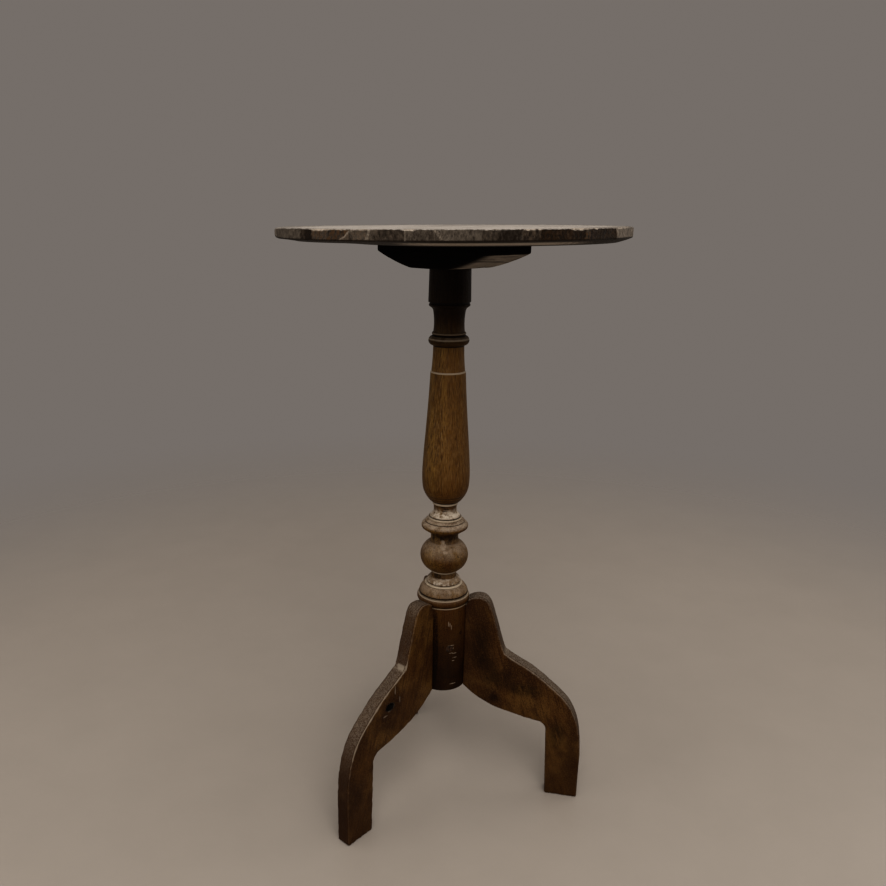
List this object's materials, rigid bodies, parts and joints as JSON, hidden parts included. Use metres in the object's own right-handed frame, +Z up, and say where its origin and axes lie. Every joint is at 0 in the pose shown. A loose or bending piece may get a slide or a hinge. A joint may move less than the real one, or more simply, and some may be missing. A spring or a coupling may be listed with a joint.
{
  "type": "tripod table",
  "caption": "Small round table with a boarded top on one batten, a turned baluster column and sawn legs dovetailed into the foot of the column.",
  "frame": {"origin": "on the floor, straight under the middle of the round top", "axes": "+Z up; the rear leg lies at 86.5 degrees, the left leg at 210 degrees and the right leg at 330 degrees about +Z from +X"},
  "size_m": [0.378, 0.378, 0.7],
  "materials": {
    "top_wood": "old worn boards, grey brown, dusty on top, darkened and hand cut at the rim",
    "cleat_wood": "rough dark unpolished wood",
    "column_wood": "turned, stained and waxed, worn to golden brown on the vase, dusty in the rings",
    "leg_wood": "sawn, stained and waxed, mottled, pale along the worn edges",
    "peg_wood": "plain split hardwood",
    "screw_iron": "dull rusty iron, slotted heads"
  },
  "bodies": {
    "root": {"top_board_front": "top_wood", "top_board_middle": "top_wood", "top_board_rear": "top_wood", "cleat": "cleat_wood", "column": "column_wood", "leg_rear": "leg_wood", "leg_left": "leg_wood", "leg_right": "leg_wood", "tenon_wedge": "peg_wood", "top_dowels": "peg_wood", "cleat_screws": "screw_iron", "leg_screws": "screw_iron"}
  },
  "joints": []
}
